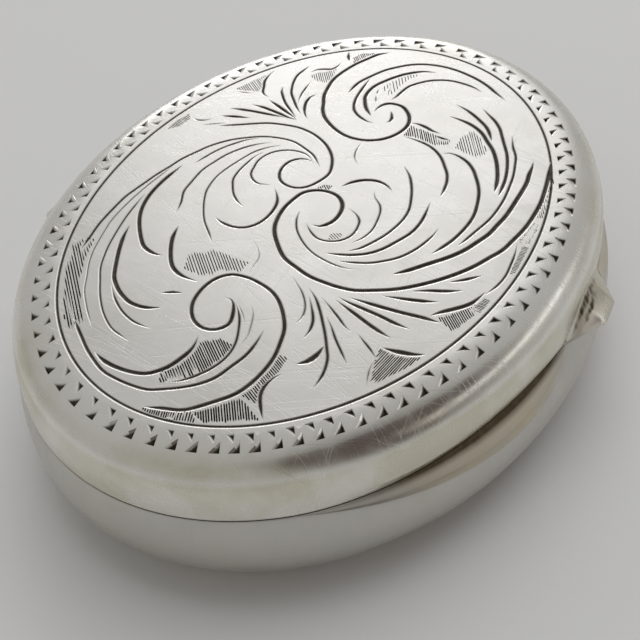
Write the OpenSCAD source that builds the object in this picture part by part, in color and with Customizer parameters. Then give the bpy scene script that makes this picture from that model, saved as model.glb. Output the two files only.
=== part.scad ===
// Oval silver pill box with a hinged, engraved lid.
// The origin is the centre of the flat bottom. +Z is up, X runs along the length of the oval,
// the thumb-piece faces -Y and the hinge is at +Y.

/* [Box] */
// Length of the oval at the joint between lid and base
box_length = 45; // [40:0.5:50]
// Width of the oval at the joint between lid and base
box_width = 34; // [30:0.5:38]
// Height of the base, up to its top edge
base_height = 7.3; // [6.5:0.1:9]
// Thickness of the silver sheet
sheet = 0.7; // [0.5:0.05:0.9]
// Thickness of the flat bottom and of the lid's top
plate = 0.8; // [0.6:0.05:1]

/* [Lid] */
// Height of the lid from its lower edge to the engraved border line
lid_height = 3.64; // [3.2:0.02:4.4]
// Distance from the engraved border line out to the wall
shoulder = 3.4; // [3:0.1:4]
// How far the middle of the lid stands above the border line
lid_dome = 0.3; // [0:0.05:0.5]
// Gap between the lid's lower edge and the base
parting_gap = 0.12; // [0.08:0.01:0.2]
// Slack between the lid's wall and the inner rim
rim_slack = 0.15; // [0.1:0.01:0.2]

/* [Base] */
// How far the base bulges out past the joint at its ends and back
bulge = 0.35; // [0.2:0.05:0.5]
// Extra bulge at the front, under the thumb-piece
front_bulge = 0.5; // [0.2:0.05:0.6]
// Radius that turns the base wall into the flat bottom
foot_radius = 4.8; // [4:0.1:5]
// Height of the inner rim above the base's top edge
rim_rise = 1.6; // [1.2:0.1:1.8]

/* [Finger facets] */
// How far the facets on both sides of the thumb-piece cut into the joint
facet_depth = 0.3; // [0.1:0.05:0.35]
// How far a facet reaches down the base
facet_drop = 1.45; // [1:0.05:1.6]
// How far a facet reaches up the lid wall
facet_rise = 1.2; // [0.8:0.05:1.3]

/* [Thumb-piece] */
// Width of the thumb-piece where it meets the wall
thumb_root = 7; // [5:0.1:7]
// How far the thumb-piece stands to the right of the middle
thumb_side = 0.9; // [0:0.1:1.2]
// Width of its blunt tip
thumb_tip = 2; // [1.6:0.1:2.6]
// How far the tip stands out from the wall
thumb_reach = 1.5; // [1:0.1:1.8]
// Height of the thumb-piece up the wall
thumb_height = 2.7; // [2.2:0.1:2.9]

/* [Hinge] */
// Outer radius of the hinge knuckles
knuckle_radius = 1; // [0.9:0.05:1.1]
// Length of one knuckle
knuckle_length = 2.2; // [1.8:0.1:2.4]
// Radius of the hinge pin
pin_radius = 0.45; // [0.4:0.01:0.5]
// Radial clearance of the pin in the lid's knuckles
pin_clearance = 0.03; // [0.02:0.01:0.05]

/* [Hidden] */
half_length = box_length / 2;
half_width = box_width / 2;
lid_bottom = base_height + parting_gap;
border_z = lid_bottom + lid_height;
// Points round one ring of a shell, and steps along its curved stretches
ring_points = 96;
curve_steps = 9;
// A facet starts this far round from the front, is widest at peak, and ends at stop, in degrees
facet_start = 6;
facet_peak = 23;
facet_stop = 60;
knuckles = 5;
knuckle_gap = 0.1;
knuckle_pitch = knuckle_length + knuckle_gap;
barrel_half = knuckles * knuckle_pitch / 2;
hinge_y = half_width + 0.05;
hinge_z = base_height + parting_gap / 2;
// Radius cleared round the barrel in both shells
barrel_room = knuckle_radius + 0.25;
bearer_length = 2 * barrel_half + 1.5;
bearer_depth = 1.6;
bearer_height = 1.1;
tube_fn = 48;
silver = [0.80, 0.79, 0.76];
gilt = [0.86, 0.80, 0.62];

// Place on an oval that lies "inset" inside the joint's outline, at angle t and height z
function oval(t, inset, z) = [(half_length - inset) * cos(t), (half_width - inset) * sin(t), z];

// Angle away from the front of the box, 0 at the thumb-piece and 180 at the hinge
function from_front(t) = abs(t > 90 ? t - 270 : t + 90);

// How much of a facet there is at angle t: 0 outside it, 1 at its widest
function facet_part(s) = (s - facet_start) / (facet_stop - facet_start);
facet_bend = ln(0.5) / ln(facet_part(facet_peak));
function facet(t) =
    let (u = facet_part(from_front(t)))
    (u <= 0 || u >= 1) ? 0 : pow(sin(180 * pow(u, facet_bend)), 1.3);

// Bulge of the base at angle t
function belly(t) =
    let (s = from_front(t))
    bulge + (s < 90 ? front_bulge * pow(cos(s), 2) : 0);

// Inset of the base's outer wall at angle t and height z
function base_inset(t, z) =
    z > foot_radius
    ? -belly(t) * (1 - pow((z - foot_radius) / (base_height - foot_radius), 2))
    : -belly(t) + foot_radius - sqrt(pow(foot_radius, 2) - pow(foot_radius - z, 2));

// Drop of the lid's shoulder below the border line, "out" outside that line
function shoulder_drop(out) = lid_height * (1 - pow(max(0, 1 - pow(out / shoulder, 3)), 1 / 3));

// Closed shell from rings of points, between a first and a last pole
module skin(first, rings, last) {
    count = len(rings);
    points = concat([first], [for (r = rings) each r], [last]);
    last_index = len(points) - 1;
    side = [for (i = [0 : count - 2]) for (j = [0 : ring_points - 1])
        let (k = (j + 1) % ring_points,
             a = 1 + i * ring_points + j,
             b = 1 + i * ring_points + k)
        each [[a, a + ring_points, b + ring_points], [a, b + ring_points, b]]];
    start = [for (j = [0 : ring_points - 1]) [0, 1 + j, 1 + (j + 1) % ring_points]];
    top = 1 + (count - 1) * ring_points;
    end = [for (j = [0 : ring_points - 1]) [last_index, top + (j + 1) % ring_points, top + j]];
    polyhedron(points = points, faces = concat(start, side, end), convexity = 6);
}

// One ring at inset and height given as functions' values for every angle
function ring(inset, z) = [for (j = [0 : ring_points - 1]) oval(360 * j / ring_points, inset, z)];

// Solid bounded by a plain oval wall
module oval_block(inset, z0, z1) {
    skin([0, 0, z0], [ring(inset, z0), ring(inset, z1)], [0, 0, z1]);
}

// Everything inside the lid's outer surface
function lid_outer_ring(k) = [for (j = [0 : ring_points - 1])
    let (t = 360 * j / ring_points,
         f = facet(t),
         a = 90 * k / curve_steps,
         out = shoulder * pow(cos(a), 2 / 3),
         rise = max(0, lid_height * pow(sin(a), 2 / 3)),
         cut = f * facet_depth * pow(max(0, 1 - rise / max(0.01, facet_rise * f)), 2))
    oval(t, shoulder - out + cut, lid_bottom + rise)];

module lid_shell() {
    inner_z = border_z - plate;
    inner_corner = 1.6;
    dome_rings = [for (q = [0.75, 0.5, 0.25]) [for (j = [0 : ring_points - 1])
        let (t = 360 * j / ring_points)
        [(half_length - shoulder) * q * cos(t), (half_width - shoulder) * q * sin(t),
         border_z + lid_dome * (1 - q * q)]]];
    ceiling = [for (q = [0.5, 1]) [for (j = [0 : ring_points - 1])
        let (t = 360 * j / ring_points)
        [(half_length - sheet - inner_corner) * q * cos(t),
         (half_width - sheet - inner_corner) * q * sin(t), inner_z]]];
    inner_wall = [for (a = [67.5, 45, 22.5, 0])
        ring(sheet + inner_corner * (1 - cos(a)), inner_z - inner_corner * (1 - sin(a)))];
    color(silver) difference() {
        skin([0, 0, inner_z],
             concat(ceiling, inner_wall, [ring(sheet, lid_bottom)],
                    [for (k = [0 : curve_steps]) lid_outer_ring(k)], dome_rings),
             [0, 0, border_z + lid_dome]);
        barrel_cut();
    }
}

// Plain solid of the lid's outline, to trim what is soldered on it
module lid_outline() {
    skin([0, 0, lid_bottom], [for (k = [0 : curve_steps]) lid_outer_ring(k)], [0, 0, border_z]);
}

module thumb_piece() {
    wall_y = -half_width;
    low = lid_bottom + 0.02;
    color(silver) difference() {
        translate([thumb_side, 0, 0]) hull() {
            translate([-thumb_root / 2, wall_y + 0.3, low]) cube([thumb_root, 0.3, 0.35]);
            translate([-thumb_tip / 2, wall_y - thumb_reach, low]) cube([thumb_tip, 0.3, 0.5]);
            translate([-0.5, wall_y + 0.3, low]) cube([1, 0.6, thumb_height]);
        }
        lid_outline();
    }
}

module base_shell() {
    floor_corner = 3.2;
    inner = sheet + rim_slack;
    outer_low = [for (a = [15 : 15 : 75]) [for (j = [0 : ring_points - 1])
        let (t = 360 * j / ring_points, z = foot_radius * (1 - cos(a)))
        oval(t, base_inset(t, z), z)]];
    bottom_edge = [[for (j = [0 : ring_points - 1])
        let (t = 360 * j / ring_points)
        oval(t, base_inset(t, 0), 0)]];
    // The wall stops at the facet's crease, and the last ring is the top edge
    outer_wall = [for (q = [0, 0.25, 0.5, 0.75, 1]) [for (j = [0 : ring_points - 1])
        let (t = 360 * j / ring_points,
             crease = base_height - facet_drop * facet(t) - 0.04,
             z = foot_radius + (crease - foot_radius) * q)
        oval(t, base_inset(t, z), z)]];
    top_edge = [[for (j = [0 : ring_points - 1])
        let (t = 360 * j / ring_points)
        oval(t, facet_depth * facet(t) + 0.02, base_height)]];
    inner_wall = [for (a = [0 : 22.5 : 90])
        ring(inner + floor_corner * (1 - cos(a)), plate + floor_corner * (1 - sin(a)))];
    color(silver) difference() {
        skin([0, 0, 0],
             concat(bottom_edge, outer_low, outer_wall, top_edge, [ring(inner, base_height)],
                    inner_wall),
             [0, 0, plate]);
        barrel_cut();
    }
}

// Thin rim soldered inside the base, over which the lid closes
module base_inner_rim() {
    rim_sheet = 0.5;
    outer = sheet + rim_slack;
    low = base_height - 2;
    high = base_height + rim_rise;
    color(gilt) difference() {
        oval_block(outer, low, high);
        oval_block(outer + rim_sheet, low - 1, high + 1);
        translate([-bearer_length / 2 - 0.3, 0, low - 1]) cube([bearer_length + 0.6, half_width, 6]);
    }
}

// Room round the hinge barrel
module barrel_cut() {
    translate([-barrel_half, hinge_y, hinge_z])
        rotate([0, 90, 0])
            cylinder(r = barrel_room, h = 2 * barrel_half, $fn = tube_fn);
}

// Strip soldered inside a wall to carry the knuckles, from height low upwards
module bearer(low, wall_inset) {
    difference() {
        intersection() {
            oval_block(wall_inset, low, low + bearer_height);
            translate([-bearer_length / 2, half_width - sheet - bearer_depth, low - 1])
                cube([bearer_length, bearer_depth + sheet, bearer_height + 2]);
        }
        barrel_cut();
    }
}

module lid_hinge_bearer() {
    color(silver) bearer(lid_bottom + 0.1, sheet);
}

module base_hinge_bearer() {
    color(silver) bearer(base_height - 0.1 - bearer_height, sheet + rim_slack);
}

// One knuckle with its leaf. Index runs from 0 at -X, side is 1 for the lid and -1 for the base
module knuckle(index, side, bore) {
    x = (index - (knuckles - 1) / 2) * knuckle_pitch - knuckle_length / 2;
    leaf_gap = 0.15;
    color(silver) translate([x, hinge_y, hinge_z]) difference() {
        union() {
            rotate([0, 90, 0]) cylinder(r = knuckle_radius, h = knuckle_length, $fn = tube_fn);
            intersection() {
                rotate([0, 90, 0]) cylinder(r = barrel_room, h = knuckle_length, $fn = tube_fn);
                translate([0, -barrel_room, side > 0 ? leaf_gap : -barrel_room])
                    cube([knuckle_length, barrel_room, barrel_room - leaf_gap]);
            }
        }
        translate([-1, 0, 0]) rotate([0, 90, 0]) cylinder(r = bore, h = knuckle_length + 2, $fn = tube_fn);
    }
}

module base_knuckle_left() { knuckle(0, -1, pin_radius); }
module lid_knuckle_left() { knuckle(1, 1, pin_radius + pin_clearance); }
module base_knuckle_middle() { knuckle(2, -1, pin_radius); }
module lid_knuckle_right() { knuckle(3, 1, pin_radius + pin_clearance); }
module base_knuckle_right() { knuckle(4, -1, pin_radius); }

module hinge_pin() {
    color(silver) translate([-barrel_half + knuckle_gap / 2, hinge_y, hinge_z])
        rotate([0, 90, 0])
            cylinder(r = pin_radius, h = 2 * barrel_half - knuckle_gap, $fn = tube_fn);
}

base_shell();
base_inner_rim();
base_hinge_bearer();
base_knuckle_left();
base_knuckle_middle();
base_knuckle_right();
hinge_pin();
lid_shell();
thumb_piece();
lid_hinge_bearer();
lid_knuckle_left();
lid_knuckle_right();
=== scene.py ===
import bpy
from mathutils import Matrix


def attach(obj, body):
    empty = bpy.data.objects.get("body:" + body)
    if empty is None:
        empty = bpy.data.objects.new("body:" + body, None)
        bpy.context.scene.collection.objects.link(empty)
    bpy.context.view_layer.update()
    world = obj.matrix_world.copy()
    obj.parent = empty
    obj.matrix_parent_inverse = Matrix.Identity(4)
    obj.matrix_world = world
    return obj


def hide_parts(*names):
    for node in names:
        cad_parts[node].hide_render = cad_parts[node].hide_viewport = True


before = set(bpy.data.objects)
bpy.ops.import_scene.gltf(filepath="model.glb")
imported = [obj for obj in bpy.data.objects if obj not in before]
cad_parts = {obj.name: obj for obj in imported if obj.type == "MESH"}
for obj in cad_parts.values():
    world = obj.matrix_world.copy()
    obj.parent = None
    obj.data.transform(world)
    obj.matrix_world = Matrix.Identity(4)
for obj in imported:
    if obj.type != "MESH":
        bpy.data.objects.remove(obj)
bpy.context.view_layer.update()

import math
import random

import bmesh
import bpy
from mathutils import Matrix, Vector
from mathutils.geometry import delaunay_2d_cdt

# Oval silver pill box. Lengths in this file are millimetres until a mesh is made of them.
MM = 0.001
HALF_LENGTH = 22.5
HALF_WIDTH = 17.0
BASE_HEIGHT = 7.3
SHEET = 0.7
PLATE = 0.8
LID_BOTTOM = 7.42
LID_HEIGHT = 3.64
SHOULDER = 3.4
BORDER_Z = LID_BOTTOM + LID_HEIGHT
LID_DOME = 0.3
RIM_SLACK = 0.15
BULGE = 0.35
FRONT_BULGE = 0.5
FOOT_RADIUS = 4.8
FACET_DEPTH = 0.3
FACET_DROP = 1.45
FACET_RISE = 1.2
HINGE_Y = 17.05
HINGE_Z = 7.36
BARREL_ROOM = 1.25
BARREL_HALF = 5.75
# The thumb-piece stands a little right of the middle
NIB_SIDE = 0.9
# Degrees between two faces from which their edge is drawn sharp
LID_SHARP = 13
BASE_SHARP = 24
NIB_SHARP = 28
RING = 192

# The engraver marked the design out a little left of the middle
MARK_X = -0.44
BORDER_X = 19.1
BORDER_Y = 13.6
# The engraved plate reaches this far outside the shoulder's start, and the shell goes on from there
PLATE_OUT = 2.6
# How much wider the cuts are, and how much closer the shading lines, than the lists below say
CUT_WIDENING = 1.22
SHADING_SPACING = 0.78
# Half width and depth of one shading line
HAIR_HALF = 0.042
HAIR_DEPTH = 0.08


# ---------------------------------------------------------------- the box's own shape

def oval(t, inset, z):
    """Place on the oval that lies inset inside the joint's outline, at angle t in radians."""
    return (HALF_LENGTH - inset) * math.cos(t), (HALF_WIDTH - inset) * math.sin(t), z


def from_front(t):
    """Angle in degrees away from the thumb-piece, 0 at the front and 180 at the hinge."""
    d = math.degrees(t) % 360
    return abs(d - 270 if d > 90 else d + 90)


# Where a finger facet starts, is deepest and ends, in degrees away from the front
FACET_START = 6
FACET_DEEPEST = 23
FACET_STOP = 60
FACET_BEND = math.log(0.5) / math.log((FACET_DEEPEST - FACET_START) / (FACET_STOP - FACET_START))


def facet(t):
    """How much of a finger facet there is at angle t, 0 to 1."""
    u = (from_front(t) - FACET_START) / (FACET_STOP - FACET_START)
    if u <= 0 or u >= 1:
        return 0.0
    return math.sin(math.pi * u ** FACET_BEND) ** 1.3


def belly(t):
    """How far the base bulges out past the joint at angle t."""
    s = from_front(t)
    return BULGE + (FRONT_BULGE * math.cos(math.radians(s)) ** 2 if s < 90 else 0)


def base_inset(t, z):
    """Inset of the base's outer wall at angle t and height z."""
    if z > FOOT_RADIUS:
        return -belly(t) * (1 - ((z - FOOT_RADIUS) / (BASE_HEIGHT - FOOT_RADIUS)) ** 2)
    return -belly(t) + FOOT_RADIUS - math.sqrt(FOOT_RADIUS ** 2 - (FOOT_RADIUS - z) ** 2)


def shoulder_rise(out):
    """Height of the shoulder above the lid's lower edge, out outside its start."""
    return LID_HEIGHT * max(0.0, 1 - (max(0.0, out) / SHOULDER) ** 3) ** (1 / 3)


def out_at(x, y):
    """How far outside the shoulder's start a place on the lid lies."""
    inset = SHOULDER
    for _ in range(6):
        a = HALF_LENGTH - inset
        b = HALF_WIDTH - inset
        miss = (x / a) ** 2 + (y / b) ** 2 - 1
        slope = 2 * x * x / a ** 3 + 2 * y * y / b ** 3
        inset -= miss / slope
    return SHOULDER - inset


def lid_top(x, y):
    """Height of the lid's plain surface before it was engraved."""
    q = (x / (HALF_LENGTH - SHOULDER)) ** 2 + (y / (HALF_WIDTH - SHOULDER)) ** 2
    if q <= 1:
        return BORDER_Z + LID_DOME * (1 - q)
    return LID_BOTTOM + shoulder_rise(out_at(x, y))


# ---------------------------------------------------------------- the engraving

# Cuts of the graver: widest width, then the points that it follows, from the middle of the oval
CUTS = [
    # left scroll
    (.27, [(-18.75, .1), (-18.4, -.9), (-18, -2), (-16.9, -3.1), (-16, -3.8), (-15, -4.15),
           (-14, -4.3), (-13, -4.3), (-12, -4.1), (-11, -3.8), (-10, -3.15), (-9.2, -2.4),
           (-8.7, -1.6), (-8.4, -.5), (-8.35, .2), (-8.5, 1), (-9.1, 1.6), (-10, 1.9),
           (-11, 1.88), (-11.8, 1.6), (-12.5, 1), (-12.8, .2), (-12.6, -.5), (-12, -.9),
           (-11.2, -.7), (-10.5, -.3), (-10.25, .1), (-10.35, .5)]),
    (.2, [(-10.4, -.4), (-11.2, -1.1), (-12, -1.55), (-13, -1.95), (-14, -2.05), (-15, -1.8),
          (-16, -1.2), (-16.6, -.6), (-16.85, 0)]),
    (.24, [(-15, 7.3), (-16, 6), (-16.8, 4.9), (-17.55, 3.5), (-17.75, 2.5), (-17.8, 1.5),
           (-17.7, .5), (-17.3, -.3), (-16.8, -1.1), (-16.2, -1.8), (-15.5, -2.3), (-14.6, -2.6),
           (-13.6, -2.9), (-12.6, -2.95), (-11.5, -2.85)]),
    (.3, [(-16.65, 4.65), (-17, 3.7), (-17.1, 2.7), (-17, 1.7), (-16.7, 1), (-16, .4),
          (-15.2, .1), (-14.5, -.05), (-13.9, 0), (-13.35, .15)]),
    (.12, [(-10.3, -.4), (-11, -1.2), (-11.7, -1.75)]),
    (.12, [(-10.1, -1.2), (-10.8, -1.75), (-11.7, -2.1), (-12.4, -2.3), (-13.2, -2.25)]),
    (.1, [(-8, .15), (-7.1, .25), (-6.6, .3), (-6, .7), (-5.5, 1.3), (-5.3, 1.6)]),
    (.25, [(-17, -5.9), (-16.2, -5.3), (-15.6, -4.95), (-15, -4.85), (-14.3, -5), (-13.8, -5.3)]),
    # upper left leaf
    (.22, [(-10.2, 10.5), (-9, 10.7), (-8, 10.9), (-7, 11), (-5, 11.05), (-4, 10.9), (-3, 10.7),
           (-2, 10.5), (-1, 10.2), (0, 9.95), (1, 9.5), (2, 9), (3, 8.2), (3.7, 7.3), (4.3, 6.2),
           (4.55, 5), (4.5, 4), (4, 2.8), (3.6, 2.1), (3, 1.5), (2.6, 1.15)]),
    (.14, [(-15.2, 5.9), (-14, 7.15), (-13, 8.05), (-12, 8.65), (-11, 9.25), (-10, 9.7), (-9, 10),
           (-8, 10.25), (-7, 10.45), (-5, 10.5), (-3, 10.35), (-2, 10.2), (-.6, 10.05)]),
    (.18, [(-15.3, 3.3), (-15.1, 4), (-14.8, 4.9), (-14, 6), (-13, 6.95), (-12, 7.7), (-11, 8.4),
           (-10, 8.85), (-9, 9.2), (-7.4, 9.6), (-6, 9.85), (-4, 10.05)]),
    (.2, [(-14, 2.8), (-13.95, 3.9), (-13.6, 4.9), (-13.1, 5.7), (-12.6, 6.3), (-11.9, 7)]),
    (.3, [(-12.35, 3.1), (-12.65, 3.7), (-12.8, 4.3), (-12.75, 5.1), (-12.4, 5.9), (-12, 6.5),
          (-11.5, 7.05), (-11, 7.4), (-10, 7.95), (-9, 8.45), (-8, 8.85), (-7, 9.1)]),
    (.3, [(-8.7, 5.5), (-8.75, 6.2), (-8.5, 7), (-8, 7.6), (-7, 8.45), (-6, 9.1), (-5, 9.5),
          (-4, 9.7), (-3, 9.75), (-2, 9.7), (-.5, 9.5)]),
    (.3, [(-6, 6.25), (-7, 6), (-8, 5.5), (-9, 4.8), (-9.5, 4.2), (-9.75, 3.5), (-9.8, 2.4)]),
    (.25, [(-11.45, 3.9), (-11.1, 3.3), (-10.9, 2.65)]),
    (.18, [(-6.6, 3.5), (-6, 4.05), (-5, 5.05), (-4, 5.75), (-3, 6.3), (-2.2, 6.6), (-1, 6.75),
           (0, 6.65), (1, 6.4), (2, 6.1), (2.6, 5.85), (3.3, 5.3), (3.9, 4.6)]),
    (.2, [(-.2, 8.9), (1, 8.55), (2, 8.15), (2.8, 7.65), (3.5, 7.1), (4, 6.4)]),
    (.2, [(-5, 7.1), (-4, 7.4), (-3, 7.85), (-2, 7.95), (-.6, 8), (.5, 7.75), (1.5, 7.45),
          (2.5, 6.9), (3.3, 6.2), (3.9, 5.4)]),
    (.2, [(-2.9, 3.5), (-2.6, 4.1), (-2, 4.8), (-1.2, 5.35), (-.6, 5.65), (.3, 5.75),
          (1.2, 5.7), (2, 5.6), (2.8, 5.3)]),
    (.2, [(-.2, 3.1), (-.45, 3.8), (-.25, 4.4), (.3, 4.9), (1, 5.05), (1.7, 5.17), (2.5, 5),
          (3.1, 4.6), (3.5, 4), (3.65, 3.3), (3.5, 2.5), (2.9, 1.8)]),
    # upper middle scroll
    (.25, [(4.3, 9.8), (4.9, 8.6), (5.5, 7.5), (5.9, 6.6), (6.15, 5), (6.05, 4), (5.7, 3),
           (5, 1.9), (4, 1), (3, .5), (2.2, .3), (1.3, .5), (.5, .9), (.1, 1.5), (.1, 2.2),
           (.4, 2.8), (1, 3.2), (1.8, 3.35), (2.5, 3.2), (3, 2.7), (3.05, 2.1), (2.8, 1.7)]),
    (.25, [(-4.4, 4.7), (-4.7, 4), (-4.8, 3.2), (-4.6, 2.5), (-4.1, 2), (-3.4, 1.75),
           (-2.5, 1.7), (-1.6, 1.9), (-.9, 2.35), (-.4, 2.8)]),
    (.15, [(3.9, -.9), (4.4, -.45), (5, -.2), (5.6, -.1), (6.4, -.1)]),
    # upper fan
    (.2, [(4.6, 12.1), (4.4, 11.6), (4.6, 11), (4.95, 10.7)]),
    (.15, [(4, 10.9), (4.4, 10.2), (4.8, 9.5)]),
    (.3, [(5.4, 10.4), (5.6, 9.8), (5.8, 9), (5.95, 8.2)]),
    (.3, [(6.5, 10.3), (6.65, 9.6), (6.75, 8.8), (6.8, 8), (6.85, 7), (6.9, 6)]),
    (.3, [(7.5, 9.1), (7.5, 8.2), (7.35, 7.4), (7.2, 6.7), (7, 5.9), (6.95, 5.1)]),
    (.3, [(8.5, 8.3), (8.2, 7.6), (7.9, 7), (7.6, 6.4), (7.3, 5.8), (7, 5.2)]),
    (.24, [(10.6, 8.2), (9.9, 8), (9.2, 7.5), (8.5, 6.9), (7.8, 6.1), (7.1, 5.3)]),
    (.24, [(13.9, 7.8), (13, 7.95), (12.2, 8), (11.3, 7.8), (10.5, 7.5), (9.8, 7.15), (9, 6.5),
           (8.3, 5.9), (7.6, 5.2)]),
    (.2, [(11.9, 6.65), (11, 6.6), (10.2, 6.5), (9.4, 6.3), (8.7, 6)]),
    (.27, [(10.4, 5.35), (10.3, 5.55), (9.9, 5.7), (9.2, 5.65), (8.5, 5.4), (7.8, 5), (7.2, 4.5)]),
    (.25, [(8.85, 8.4), (9, 8.9), (9.4, 9.25), (10, 9.5), (10.6, 9.8), (11.5, 9.95), (12.3, 9.9)]),
    (.15, [(8.7, 11), (8.75, 10.4), (8.9, 9.8)]),
    (.25, [(13, 7.3), (13.5, 7.1), (13.8, 6.6), (14, 6.1), (14.6, 5.9), (15.2, 5.9)]),
    (.28, [(15.5, 5.4), (16.1, 5.8), (16.8, 6.1)]),
    # right scroll
    (.3, [(17.9, 3.2), (17.3, 3.9), (16.5, 4.3), (15.5, 4.75), (14.5, 5.05), (13.5, 5.25),
          (12.5, 5.3), (11, 5.05), (10.2, 4.8), (9.5, 4.45), (8.8, 4.15), (8, 3.6), (7.3, 2.8),
          (6.8, 2), (6.5, 1.2), (6.45, .4), (6.6, -.3), (7, -1), (7.5, -1.45), (8.2, -1.8),
          (9, -1.97), (9.7, -1.9), (10.4, -1.6), (10.95, -1.15), (11.3, -.7), (11.4, -.2),
          (11.3, .3), (10.9, .65), (10.3, .78), (9.8, .72)]),
    (.28, [(9, -.45), (9.3, -.68), (9.7, -.65), (10.1, -.45), (10.5, -.2)]),
    (.25, [(8.65, .2), (8.65, .7), (8.85, 1.2), (9.15, 1.7), (9.6, 2.15), (10.2, 2.45),
           (11, 2.68), (12, 2.82), (13, 2.9), (14, 2.95)]),
    (.27, [(11.4, 3.5), (12.5, 3.5), (13.2, 3.4), (14, 3.1), (14.8, 2.75), (15.5, 2.35),
           (16.2, 1.75), (16.8, 1.1), (17.2, .4), (17.45, -.5), (17.5, -1.4), (17.4, -2.3),
           (17.15, -3.2), (16.8, -4.1), (16.3, -5), (15.7, -5.8), (15, -6.8)]),
    (.3, [(9.3, .7), (9.7, 1.1), (10.2, 1.55), (11, 2), (11.5, 2.2), (12.3, 2.28), (13.2, 2.15),
          (14.2, 1.7), (14.8, 1.35), (15.3, 1), (15.8, .5), (16.2, 0), (16.4, -.5), (16.5, -1.1)]),
    (.25, [(11.7, .4), (12.3, .22), (13, .15), (14, -.05), (14.8, -.6), (15.3, -1.1), (15.7, -1.8),
           (15.9, -2.6), (15.85, -3.5), (15.7, -4.2), (15.3, -5)]),
    (.16, [(11, 1.1), (11.4, 1.35), (11.9, 1.6)]),
    (.16, [(12, 1.5), (12.3, 1.65), (12.8, 1.75)]),
    (.14, [(12.2, .7), (12.7, .95), (13.3, 1.1)]),
    (.3, [(9.7, -2), (9.75, -2.6), (9.6, -3.2), (9.4, -3.7), (9.3, -4.4)]),
    (.25, [(9, -4.1), (8.85, -4.6), (8.9, -5.2)]),
    # lower middle scroll
    (.3, [(-2.7, -1), (-2.65, -1.6), (-2.05, -2.05), (-1.2, -2.15), (-.35, -1.95), (.3, -1.4),
          (.55, -.65), (.4, .2), (-.15, .85), (-1, 1.1), (-2.05, 1.2), (-3.15, 1.05),
          (-4, .75), (-4.85, .15), (-5.95, -.95), (-6.45, -2.05), (-6.8, -3.1), (-6.9, -4.2),
          (-6.9, -4.95), (-6.75, -5.9), (-6.25, -6.95), (-5.7, -7.9), (-5.05, -8.7),
          (-4.2, -9.55), (-3.15, -10.4), (-2.05, -11.1), (-1, -11.6), (0, -12.05),
          (1.15, -12.3), (2.2, -12.5), (3.3, -12.6), (5, -12.6), (6.3, -12.45), (7.5, -12.25),
          (8.7, -12), (9.7, -11.75)]),
    (.18, [(-1.8, .2), (-2.6, 0), (-3.5, -.5), (-4.3, -1.3), (-4.9, -2.2), (-5.2, -3.1),
           (-5.35, -4), (-5.3, -4.8), (-5.1, -5.4)]),
    (.2, [(-2.7, -.7), (-3.3, -1.3), (-3.7, -2), (-3.65, -2.7), (-3.3, -3.3), (-2.7, -3.65),
          (-2, -3.7), (-1.2, -3.5), (-.7, -3), (-.35, -2.2)]),
    (.18, [(-3.3, -3.95), (-2.6, -4.35), (-1.8, -4.55), (-1, -4.5), (0, -4.3), (.7, -3.95),
           (1.2, -3.4), (1.8, -3.05)]),
    (.22, [(-4, -4.05), (-3.5, -4.6), (-2.8, -5), (-1.9, -5.4), (-1, -5.65), (0, -5.8),
           (1, -5.75), (2, -5.45), (3, -5.05), (4, -4.5), (4.6, -4), (5, -3.6)]),
    (.25, [(-4.7, -2.9), (-4.5, -3.6), (-4.2, -4.4), (-3.7, -5.2), (-3, -5.8), (-2, -6.3),
           (-1, -6.7), (0, -6.85), (1, -6.8), (2.3, -6.6)]),
    (.22, [(-5, -3.9), (-4.8, -4.6), (-4.4, -5.6), (-3.9, -6.3), (-3.2, -7), (-2.3, -7.5),
           (-1.4, -7.8), (-.4, -8), (.3, -8)]),
    (.32, [(-4.7, -7.2), (-4, -7.9), (-3, -8.7), (-2, -9.5), (-1, -10.1), (0, -10.5),
           (1, -10.85), (2, -11), (3, -11.15), (4.5, -11.2), (6.5, -11.2), (7.5, -11.05),
           (8.4, -10.95), (9.1, -10.8)]),
    (.26, [(-2.2, -8.5), (-1.5, -8.8), (-.5, -9.15), (.5, -9.35), (1.5, -9.45), (2.5, -9.4),
           (4, -9.05), (5, -8.65), (6, -8.05), (6.5, -7.7), (7, -7.2), (7.3, -6.7), (7.5, -6.1),
           (7.45, -5.6), (7.25, -5.3)]),
    (.22, [(-.9, -9.6), (0, -9.85), (1, -10.1), (2, -10.35), (3, -10.48), (4.5, -10.5),
           (6, -10.35), (7, -10.2), (8, -9.95), (9, -9.65), (9.8, -9.2), (10.5, -8.9),
           (11.2, -8.6)]),
    (.3, [(1.3, -1), (2, -1.4), (2.6, -2.1), (2.8, -2.9), (2.6, -3.6), (2.2, -4.1)]),
    (.24, [(2.9, -6.95), (3.6, -6.9), (4.5, -6.75), (5.3, -6.45), (6, -6), (6.7, -5.5),
           (7.2, -5), (7.6, -4.4), (7.85, -3.7), (7.95, -3), (8, -2.2)]),
    (.3, [(4.8, -9.75), (6, -9.5), (7, -9.15), (8, -8.7), (9, -8.1), (9.8, -7.4), (10.5, -6.8),
          (11, -6.1), (11.3, -5.4), (11.45, -4.7), (11.55, -4)]),
    (.26, [(4.5, -10.1), (6, -9.95), (7, -9.75), (8, -9.45), (9, -9.05), (10, -8.5),
           (11, -7.95), (11.6, -7.6), (12.3, -7), (12.8, -6.4), (13.4, -5.7)]),
    (.28, [(9.9, -7.7), (10.6, -7.3), (11.3, -6.8), (11.9, -6.1), (12.4, -5.4), (12.8, -4.7),
           (13.1, -3.9)]),
    # lower fan
    (.16, [(-10.5, -4.15), (-9.8, -4.25), (-9, -4), (-8.2, -3.4), (-7.6, -2.7), (-7.15, -2.2)]),
    (.22, [(-11.3, -5.05), (-10.6, -5.1), (-9.8, -4.9), (-9, -4.4), (-8.2, -3.8)]),
    (.35, [(-13, -5.55), (-12.6, -6), (-12, -6.25), (-11.2, -6.3)]),
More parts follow.
